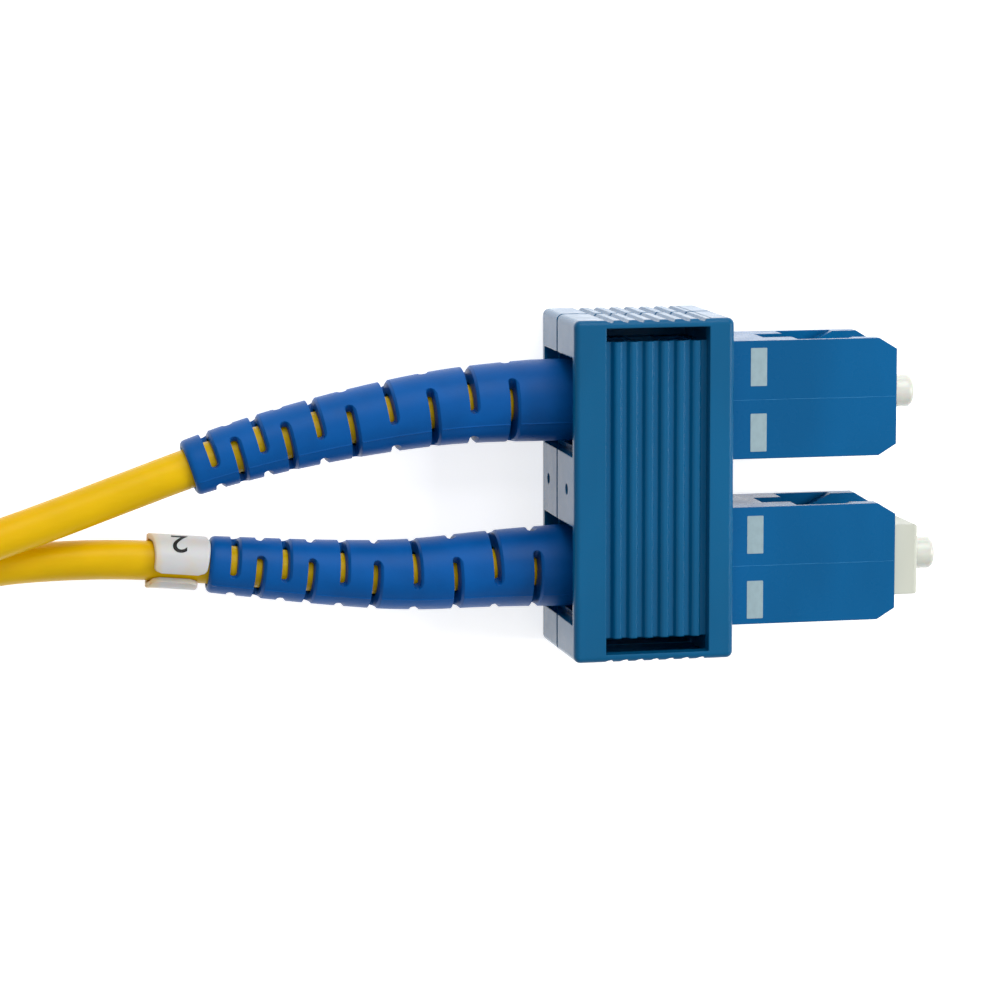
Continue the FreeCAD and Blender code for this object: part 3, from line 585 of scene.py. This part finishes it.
def coil_points(low):
    """One cable's turns: outer and inner turn, a rise, inner and outer turn above them."""
    high = low + 2 * coil_pitch
    # Shares of the way in, up and out again, by the number of the turn's corner.
    inward = {14: 0.25, 15: 0.5, 16: 0.8, 17: 1.0}
    rise = {9: 0.35, 10: 0.65, 11: 0.82, 12: 0.95}
    outward = {4: 0.2, 5: 0.5, 6: 0.8, 7: 0.95}
    points = []
    for turn in range(4):
        for i, (centre, angle, out) in enumerate(turn_stations()):
            if turn == 3 and i > 1:
                break
            radius, height = coil_inner, low
            if turn == 0:
                radius = coil_outer - coil_pitch * inward.get(i, 0.0)
            elif turn == 1:
                height = low + (high - low) * (1.0 if i > 12 else rise.get(i, 0.0))
            else:
                height = high
                share = 1.0 if turn == 3 or i > 7 else outward.get(i, 0.0)
                radius = coil_inner + coil_pitch * share
            x = centre + radius * out * math.cos(math.radians(angle))
            y = coil_middle_y + radius * out * math.sin(math.radians(angle))
            points.append((x, y, height))
    return points


def centreline(name, points):
    """A smooth open line with these control points."""
    curve = bpy.data.curves.new(name, "CURVE")
    curve.dimensions = "3D"
    spline = curve.splines.new("NURBS")
    spline.points.add(len(points) - 1)
    for control, point in zip(spline.points, points):
        control.co = (*point, 1.0)
    spline.order_u = 3
    spline.use_endpoint_u = True
    spline.resolution_u = 12
    return bpy.data.objects.new(name, curve)


def cable(letter, points):
    """One core of the lead as a tube, and the points that its middle follows."""
    line = centreline("line_" + letter, points)
    path = [vertex.co.copy() for vertex in bpy.data.meshes.new_from_object(line).vertices]
    line.data.bevel_depth = cable_radius
    line.data.bevel_resolution = 6
    line.data.use_fill_caps = True
    mesh = bpy.data.meshes.new_from_object(line)
    shade_smooth(mesh)
    return add_piece("lead_" + letter, mesh, jacket, None), path


def finished(shape, name, smooth=None):
    """A bmesh in millimetres made into a mesh in metres, smooth where it turns by less."""
    bmesh.ops.recalc_face_normals(shape, faces=shape.faces[:])
    shape.transform(Matrix.Scale(mm, 4))
    mesh = bpy.data.meshes.new(name)
    shape.to_mesh(mesh)
    shape.free()
    if smooth:
        shade_smooth(mesh)
        mesh.set_sharp_from_angle(angle=math.radians(smooth))
    return mesh


def as_mesh(shape):
    """A bmesh kept in millimetres as a mesh, for cutting."""
    bmesh.ops.recalc_face_normals(shape, faces=shape.faces[:])
    mesh = bpy.data.meshes.new("work")
    shape.to_mesh(mesh)
    shape.free()
    return mesh


def combined(mesh, tool, operation):
    """What is left of a mesh when another is cut from it, or joined to it."""
    holder = bpy.data.objects.new("work", mesh)
    other = bpy.data.objects.new("tool", tool)
    for item in (holder, other):
        bpy.context.scene.collection.objects.link(item)
    modifier = holder.modifiers.new("combine", "BOOLEAN")
    modifier.operation = operation
    modifier.solver = "EXACT"
    modifier.object = other
    depsgraph = bpy.context.evaluated_depsgraph_get()
    result = bpy.data.meshes.new_from_object(holder.evaluated_get(depsgraph))
    for item in (holder, other):
        bpy.data.objects.remove(item)
    return result


def add_skin(shape, rings, closed=False):
    """Faces from ring to ring, then two end faces, or the last ring joined to the first."""
    followers = rings[1:] + (rings[:1] if closed else [])
    for first, second in zip(rings, followers):
        for i in range(len(first)):
            j = (i + 1) % len(first)
            shape.faces.new((first[i], first[j], second[j], second[i]))
    if not closed:
        shape.faces.new(rings[0])
        shape.faces.new(rings[-1][::-1])


def add_prism(shape, outline, axes, low, high):
    """An outline in two axes, run from low to high along the third."""
    rings = []
    for level in (low, high):
        ring = []
        for pair in outline:
            place = [level] * 3
            place[axes[0]], place[axes[1]] = pair
            ring.append(shape.verts.new(place))
        rings.append(ring)
    add_skin(shape, rings)


def oblong(half_x, half_y):
    """The corners of an oblong about the origin."""
    return [(-half_x, -half_y), (half_x, -half_y), (half_x, half_y), (-half_x, half_y)]


def box_tool(x0, x1, y0, y1, z0, z1):
    """A block to cut with."""
    tool = bmesh.new()
    add_prism(tool, [(x0, y0), (x1, y0), (x1, y1), (x0, y1)], (0, 1), z0, z1)
    return as_mesh(tool)


def finger_grooves(side):
    """What comes off one narrow end of the clip: a shaving, and the upright grooves."""
    wall = clip_half_width - end_shaving
    outline = [(-end_half_length, clip_half_width + past),
               (end_half_length, clip_half_width + past), (end_half_length, wall)]
    for i in reversed(range(finger_groove_count)):
        x = finger_groove_first + i * finger_groove_pitch
        outline.append((x + finger_groove_half, wall))
        outline += [(x + share * finger_groove_half, clip_half_width - deep * finger_groove_depth)
                    for share, deep in finger_groove_floor]
        outline.append((x - finger_groove_half, wall))
    outline.append((-end_half_length, wall))
    tool = bmesh.new()
    add_prism(tool, [(x, side * y) for x, y in outline], (0, 1), -past, clip_top + past)
    return as_mesh(tool)


def joint_groove():
    """The shadow line between the two halves, all round the clip."""
    outer = oblong(clip_half_length + past, clip_half_width + past)
    inner = oblong(clip_half_length - joint_depth, clip_half_width - joint_end_depth)
    low, high = clip_joint - joint_half, clip_joint + joint_half
    tool = bmesh.new()
    rings = [[tool.verts.new((x, y, z)) for x, y in outline]
             for outline, z in ((outer, low - joint_flare), (outer, high + joint_flare),
                                (inner, high - joint_taper), (inner, low + joint_taper))]
    add_skin(tool, rings, closed=True)
    return as_mesh(tool)


def panel_comb():
    """The sunk panel's bed with its ribs, whose rear sides slope and front sides are steep."""
    block_rear, block_front = panel_rear - rib_lap, panel_front + rib_lap
    outline = [(block_rear, rib_foot), (block_front, rib_foot), (block_front, rib_floor)]
    for i in reversed(range(rib_count)):
        rear = rib_first + i * rib_pitch
        front = rear + rib_width
        outline.append((front + rib_front_foot, rib_floor))
        outline += [(front + ahead, rib_top - below) for ahead, below in rib_front]
        outline += [(rear + ahead, rib_top - below) for ahead, below in rib_rear]
        outline.append((rear + rib_rear_foot, rib_floor))
    outline.append((block_rear, rib_floor))
    tool = bmesh.new()
    add_prism(tool, outline, (0, 2), -slot_inner, slot_inner)
    return as_mesh(tool)


def in_millimetres(node):
    """A CAD node's shape, welded, in millimetres."""
    shape = bmesh.new()
    shape.from_mesh(nodes[node].data)
    shape.transform(Matrix.Scale(1 / mm, 4))
    bmesh.ops.remove_doubles(shape, verts=shape.verts[:], dist=cad_weld)
    return as_mesh(shape)


def whole_clip():
    """Both halves of the clip as one, with finger grooves, joint line, slots and ribs."""
    mesh = combined(in_millimetres("clip_lower"), in_millimetres("clip_upper"), "UNION")
    mesh = combined(mesh, joint_groove(), "DIFFERENCE")
    bed = box_tool(panel_rear, panel_front, -panel_half_width, panel_half_width, panel_bed,
                   clip_top + past)
    mesh = combined(combined(mesh, bed, "DIFFERENCE"), panel_comb(), "UNION")
    for side in (-1, 1):
        mesh = combined(mesh, finger_grooves(side), "DIFFERENCE")
        y0, y1 = sorted((side * (slot_inner - slot_undercut), side * slot_outer))
        slot = box_tool(-end_half_length, end_half_length, y0, y1, slot_low, slot_high)
        mesh = combined(mesh, slot, "DIFFERENCE")
    return mesh


def clip_pieces(whole, half):
    """One half of the near clip, and the same half turned round at the far end."""
    low, high = (-past, clip_joint) if half == "lower" else (clip_joint, clip_top + past)
    reach = clip_half_width + past
    mesh = combined(whole, box_tool(-reach, reach, -reach, reach, low, high), "INTERSECT")
    turned = mesh.copy()
    turned.transform(Matrix.Translation((far_clip_x, far_clip_y, 0)) @
                     Matrix.Rotation(math.pi, 4, "Z"))
    pieces = []
    for end, shape in (("", mesh), ("far_", turned)):
        shape.transform(Matrix.Scale(mm, 4))
        shape.polygons.foreach_set("use_smooth", [False] * len(shape.polygons))
        piece = add_piece(end + "clip_shell_" + half, shape, clip_plastic, "root")
        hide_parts(end + "clip_" + half)
        pieces.append(piece)
    return pieces


class Followed:
    """A line that pieces follow, in millimetres, from a connector's middle back."""

    def __init__(self, path, rear):
        points = [point / mm for point in path]
        self.points = [points[0] - Vector((rear * jacket_behind, 0, 0))] + points
        self.places = [0.0]
        for before, after in zip(self.points, self.points[1:]):
            self.places.append(self.places[-1] + (after - before).length)

    def at(self, place):
        """The point at a distance along the line."""
        i = max(1, min(bisect.bisect(self.places, place), len(self.places) - 1))
        share = (place - self.places[i - 1]) / (self.places[i] - self.places[i - 1])
        return self.points[i - 1].lerp(self.points[i], share)

    def ring(self, place):
        """The point at a distance along, with the upward and sideways directions there."""
        heading = (self.at(place + heading_reach) - self.at(place - heading_reach)).normalized()
        up = (Vector((0, 0, 1)) - heading * heading.z).normalized()
        return self.at(place), up, heading.cross(up)

    def spot(self, place, angle, radius):
        """A point round the line: an angle in degrees from the top, and a radius."""
        middle, up, side = self.ring(place)
        turn = math.radians(angle)
        return middle + (up * math.cos(turn) + side * math.sin(turn)) * radius


def boot_radius(place):
    """The boot's outer radius at a distance behind the clip's centre."""
    share = max(0.0, (place - boot_taper_start) / (boot_end - boot_taper_start))
    return boot_front_radius + (boot_end_radius - boot_front_radius) * share


def boot_profile():
    """(place, radius, outer?) round the boot's wall, from its front rim and back again."""
    profile = [(place, boot_front_radius, True) for place in boot_plain]
    for i in range(boot_outer_steps + 1):
        share = i / boot_outer_steps
        place = boot_taper_start + (boot_end - boot_rim - boot_taper_start) * share
        profile.append((place, boot_radius(place), True))
    for angle in (25, 50, 75):
        turn = math.radians(angle)
        profile.append((boot_end - boot_rim * (1 - math.sin(turn)),
                        boot_end_radius - boot_rim * (1 - math.cos(turn)), False))
    profile.append((boot_end, boot_bore + boot_bore_bevel, False))
    for i in range(boot_bore_steps + 1):
        share = i / boot_bore_steps
        place = boot_end - boot_bore_bevel - share * (boot_end - boot_bore_front)
        profile.append((place, boot_bore, False))
    return profile + [(place, radius, False) for place, radius in crimp_room]


def boot_wall(line, seam):
    """The boot as a tapered tube along its cable, with a fine moulding seam on two sides."""
    between = 180 - 2 * seam_half_angle
    steps = [-seam_half_angle, 0, seam_half_angle]
    steps += [seam_half_angle + between * i / boot_side_steps for i in range(1, boot_side_steps)]
    angles = [seam + 180 * half + step for half in (0, 1) for step in steps]
    shape = bmesh.new()
    rings = []
    for place, radius, outer in boot_profile():
        middle, up, side = line.ring(place)
        ring = []
        for i, angle in enumerate(angles):
            turn = math.radians(angle)
            proud = seam_rise if outer and i % len(steps) == 1 else 0.0
            ring.append(shape.verts.new(
                middle + (up * math.cos(turn) + side * math.sin(turn)) * (radius + proud)))
        rings.append(ring)
    add_skin(shape, rings, closed=True)
    return as_mesh(shape)


def slit_tools(line, seam):
    """Two round-ended slits at each place, turned by a right angle from place to place."""
    shape = bmesh.new()
    for number, place in enumerate(boot_slits):
        radius = boot_radius(place)
        length = 2 * math.radians(slit_half_angle) * radius
        ways = list(slit_end_steps)
        ways += [slit_end + (length - 2 * slit_end) * i / slit_steps
                 for i in range(slit_steps + 1)]
        ways += [length - way for way in reversed(slit_end_steps)]
        middle = seam + (0 if number % 2 == 0 else 90)
        for centre in (middle, middle + 180):
            rings = []
            for way in ways:
                inset = min(way, length - way)
                rest = max(0.0, slit_half_width - inset)
                half = math.sqrt(slit_half_width ** 2 - rest ** 2)
                lip = slit_lip * min(1.0, inset / slit_end)
                angle = centre - slit_half_angle + math.degrees(way / radius)
                section = ((half, slit_bottom), (half, radius + slit_past),
                           (-half - lip - slit_past, radius + slit_past),
                           (-half, radius - lip), (-slit_narrowing * half, slit_bottom))
                rings.append([shape.verts.new(line.spot(place + along, angle, out))
                              for along, out in section])
            add_skin(shape, rings)
    return as_mesh(shape)


def relief_boot(name, node, line, seam, body):
    """A bend-relief boot, in place of its CAD node."""
    mesh = combined(boot_wall(line, seam), slit_tools(line, seam), "DIFFERENCE")
    shape = bmesh.new()
    shape.from_mesh(mesh)
    piece = add_piece(name, finished(shape, name, smooth=32), boot_rubber, body)
    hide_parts(node)
    return piece


def coil_spring(letter):
    """The spring behind a ferrule, with close end turns."""
    low, high = (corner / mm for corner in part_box("spring_" + letter))
    middle = (low + high) / 2
    length = high.x - low.x
    radius = (high.z - low.z) / 2 - spring_wire
    shape = bmesh.new()
    rings = []
    steps = spring_turns * spring_steps
    for step in range(steps + 1):
        share = step / steps
        rise = share + spring_dead * math.sin(2 * math.pi * (share - 0.5)) / (2 * math.pi)
        x = low.x + spring_wire + (length - 2 * spring_wire) * rise
        turn = 2 * math.pi * spring_turns * share
        out = Vector((0, math.cos(turn), math.sin(turn)))
        centre = Vector((x, middle.y, middle.z)) + out * radius
        ring = []
        for side in range(spring_sides):
            around = 2 * math.pi * side / spring_sides
            ring.append(shape.verts.new(centre + spring_wire * (
                out * math.cos(around) + Vector((1, 0, 0)) * math.sin(around))))
        rings.append(ring)
    add_skin(shape, rings)
    name = "coil_spring_" + letter
    piece = add_piece(name, finished(shape, name, smooth=50), spring_steel, "plug_" + letter)
    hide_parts("spring_" + letter)
    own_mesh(piece)
    return piece


def marker_sleeve(line):
    """The split ring on the second cable, with its ends cut a little askew."""
    span = 360 - 2 * marker_slit_half
    angles = [marker_slit + marker_slit_half + span * i / marker_steps
              for i in range(marker_steps + 1)]
    shape = bmesh.new()
    rings = []
    for angle in angles:
        from_slit = math.radians(min(angle - angles[0], angles[-1] - angle)) * marker_outer
        short = max(0.0, marker_corner - from_slit)
        corner = marker_corner - math.sqrt(marker_corner ** 2 - short ** 2)
        beyond = math.radians(min(angle - marker_front_angle, 90))
        dip = marker_front_dip[beyond > 0] * (1 - math.cos(beyond))
        front = marker_front + corner + dip
        facing = max(0.0, math.cos(math.radians(angle - marker_rear_angle)))
        rear = marker_rear - corner - marker_rear_dip * facing ** marker_rear_curve
        run = rear - front - 2 * marker_bevel
        places = [front + marker_bevel + run * i / marker_rings for i in range(marker_rings + 1)]
        ring = [(place, marker_outer) for place in places]
        ring += [(rear, marker_outer - marker_bevel), (rear, marker_inner + marker_bevel)]
        ring += [(place, marker_inner) for place in reversed(places)]
        ring += [(front, marker_inner + marker_bevel), (front, marker_outer - marker_bevel)]
        rings.append([shape.verts.new(line.spot(place, angle, out)) for place, out in ring])
    add_skin(shape, rings)
    piece = add_piece("marker_sleeve", finished(shape, "marker_sleeve", smooth=35),
                      marker_plastic, "plug_b")
    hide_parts("marker_ring")
    return piece


def printed_digit(line):
    """The core's number on its ring, wrapped round it, upside down as the ring was put on."""
    text = bpy.data.curves.new("digit", "FONT")
    text.body = "2"
    text.offset = digit_bold
    text.extrude = digit_film
    holder = bpy.data.objects.new("digit", text)
    flat = bpy.data.meshes.new_from_object(holder)
    bpy.data.objects.remove(holder)
    shape = bmesh.new()
    shape.from_mesh(flat)
    low_x, high_x = (f(v.co.x for v in shape.verts) for f in (min, max))
    low_y, high_y = (f(v.co.y for v in shape.verts) for f in (min, max))
    for i in range(1, digit_slices):
        level = low_y + (high_y - low_y) * i / digit_slices
        bmesh.ops.bisect_plane(shape, geom=shape.verts[:] + shape.edges[:] + shape.faces[:],
                               plane_co=(0, level, 0), plane_no=(0, 1, 0))
    for vertex in shape.verts:
        across = (vertex.co.x - low_x) / (high_x - low_x) - 0.5
        upward = (vertex.co.y - low_y) / (high_y - low_y)
        angle = digit_angle - math.degrees(upward * digit_height / marker_outer)
        out = marker_outer + digit_lift + vertex.co.z
        vertex.co = line.spot(digit_place + across * digit_width, angle, out)
    bmesh.ops.remove_doubles(shape, verts=shape.verts[:], dist=digit_weld)
    return add_piece("digit_2", finished(shape, "digit_2"), digit_ink, "plug_b")


def strap(name, side):
    """A hook-and-loop strap round one straight side of the coil, its end lapped on top."""
    y0, y1 = sorted(coil_middle_y / mm + side * reach for reach in strap_reach)
    z0, z1 = strap_wall, strap_wall + strap_height
    left, right, low, high = (y0 + strap_corner, y1 - strap_corner, z0 + strap_corner,
                              z1 - strap_corner)
    half = strap_width / 2
    flat = half - strap_bevel
    section = ((-flat, 0.0), (flat, 0.0), (half, strap_edge), (half, strap_wall - strap_edge),
               (flat, strap_wall), (0, strap_wall), (-flat, strap_wall),
               (-half, strap_wall - strap_edge), (-half, strap_edge))
    shape = bmesh.new()
    rings = []
    for y, z, start in ((right, high, 0), (left, high, 90), (left, low, 180), (right, low, 270)):
        for angle in range(start, start + 91, 15):
            turn = math.radians(angle)
            rings.append([shape.verts.new((strap_x + x, y + math.cos(turn) * (strap_corner + out),
                                           z + math.sin(turn) * (strap_corner + out)))
                          for x, out in section])
    add_skin(shape, rings, closed=True)
    top = z1 + strap_wall
    section = ((-half, -lap_sunk), (half, -lap_sunk), (half - lap_bevel, lap_height),
               (-half + lap_bevel, lap_height))
    lap = []
    for i in range(lap_steps + 1):
        share = i / lap_steps
        y = y0 + lap_starts + (y1 - y0 - lap_starts - lap_stops) * share
        tip = max(0.0, share - lap_tip) / (1 - lap_tip)
        narrow = 1 - lap_narrowing * tip ** 2
        lap.append([shape.verts.new((strap_x + x * narrow, y, top + out)) for x, out in section])
    add_skin(shape, lap)
    piece = add_piece(name, finished(shape, name, smooth=40), strap_fabric, "root")
    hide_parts("coil_" + name)
    return piece


def printed_mark(name, x, y, top):
    """A thin printed oblong on a grip's upper face."""
    shape = bmesh.new()
    shape.faces.new([shape.verts.new((x + across, y + along, top))
                     for across, along in oblong(mark_length / 2, mark_width / 2)])
    bmesh.ops.bevel(shape, geom=shape.verts[:], offset=mark_round, segments=2,
                    affect="VERTICES")
    extruded = bmesh.ops.extrude_face_region(shape, geom=shape.faces[:])
    raised = [v for v in extruded["geom"] if isinstance(v, bmesh.types.BMVert)]
    bmesh.ops.translate(shape, vec=(0, 0, mark_film), verts=raised)
    bmesh.ops.recalc_face_normals(shape, faces=shape.faces[:])
    mesh = bpy.data.meshes.new(name)
    shape.to_mesh(mesh)
    shape.free()
    return add_piece(name, mesh, mark_ink, "root")


def grip_seam(name, node):
    """The fine moulding ridge along the middle of a grip's upper face, coloured lighter than the
    grip as a painted highlight.
    """
    low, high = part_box(node)
    middle = (low.y + high.y) / 2 / mm
    top = high.z / mm
    wander = random.Random(grip_seam_seed)
    shape = bmesh.new()
    rings = []
    for i in range(grip_seam_steps + 1):
        x = grip_seam_rear + (grip_seam_front - grip_seam_rear) * i / grip_seam_steps
        y = middle + wander.uniform(-grip_seam_wander, grip_seam_wander)
        half = wander.uniform(*grip_seam_half)
        rise = wander.uniform(*grip_seam_rise)
        section = ((-half, -grip_seam_sunk), (-half / 2, rise), (half / 2, rise),
                   (half, -grip_seam_sunk))
        rings.append([shape.verts.new((x, y + across, top + up)) for across, up in section])
    add_skin(shape, rings)
    return add_piece(name, finished(shape, name), seam_highlight_plastic, "root")


add_camera()
add_world(surround_strength)
for lamp in lamps:
    add_lamp(*lamp)
add_floor()

for node_name in nodes:
    if not node_name.startswith("coil_tie"):
        dress(node_name)

lead_a, path_a = cable("a", near_route_a + coil_points(coil_low_b + coil_pitch) + far_route_a)
lead_b, path_b = cable("b", near_route_b + coil_points(coil_low_b) + far_route_b)
line_a, line_b = Followed(path_a, -1), Followed(path_b, -1)
far_line_a, far_line_b = Followed(path_a[::-1], 1), Followed(path_b[::-1], 1)

relief_boot("relief_boot_a", "boot_a", line_a, boot_seam["a"], "plug_a")
relief_boot("relief_boot_b", "boot_b", line_b, boot_seam["b"], "plug_b")
far_boots = {
    "a": relief_boot("far_relief_boot_a", "far_boot_a", far_line_a, boot_seam["a"], "root"),
    "b": relief_boot("far_relief_boot_b", "far_boot_b", far_line_b, boot_seam["b"], "root"),
}
for letter in "ab":
    coil_spring(letter)
clip = whole_clip()
far_clips = [clip_pieces(clip, half)[1] for half in ("lower", "upper")]
sleeve = marker_sleeve(line_b)
digit = printed_digit(line_b)
strap("tie_1", -1)
strap("tie_2", 1)

far_marks = {"a": [], "b": []}
for letter in "ab":
    for end, start, way in (("", 0.0, 1), ("far_", far_clip_x * mm, -1)):
        low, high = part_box(end + "grip_" + letter)
        x = start + way * mark_ahead[letter]
        for i, side in enumerate((-1, 1), 1):
            y = (low.y + high.y) / 2 + side * mark_spread + way * mark_shift[letter]
            mark = printed_mark(f"{end}mark_{letter}_{i}", x, y, high.z)
            if end:
                far_marks[letter].append(mark)
    grip_seam("grip_seam_" + letter, "grip_" + letter)

for piece, letter in ((lead_a, "a"), (lead_b, "b")):
    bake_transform(piece)
    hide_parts("cable_" + letter, "far_cable_" + letter)
    carried = [nodes[f"far_{part}_{letter}"] for part in ("grip", "frame", "ferrule",
                                                          "rear_body")]
    carried += [far_boots[letter]] + far_clips + far_marks[letter]
    if letter == "b":
        carried += [sleeve, digit]
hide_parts("coil")

bpy.context.scene.view_settings.view_transform = "Standard"
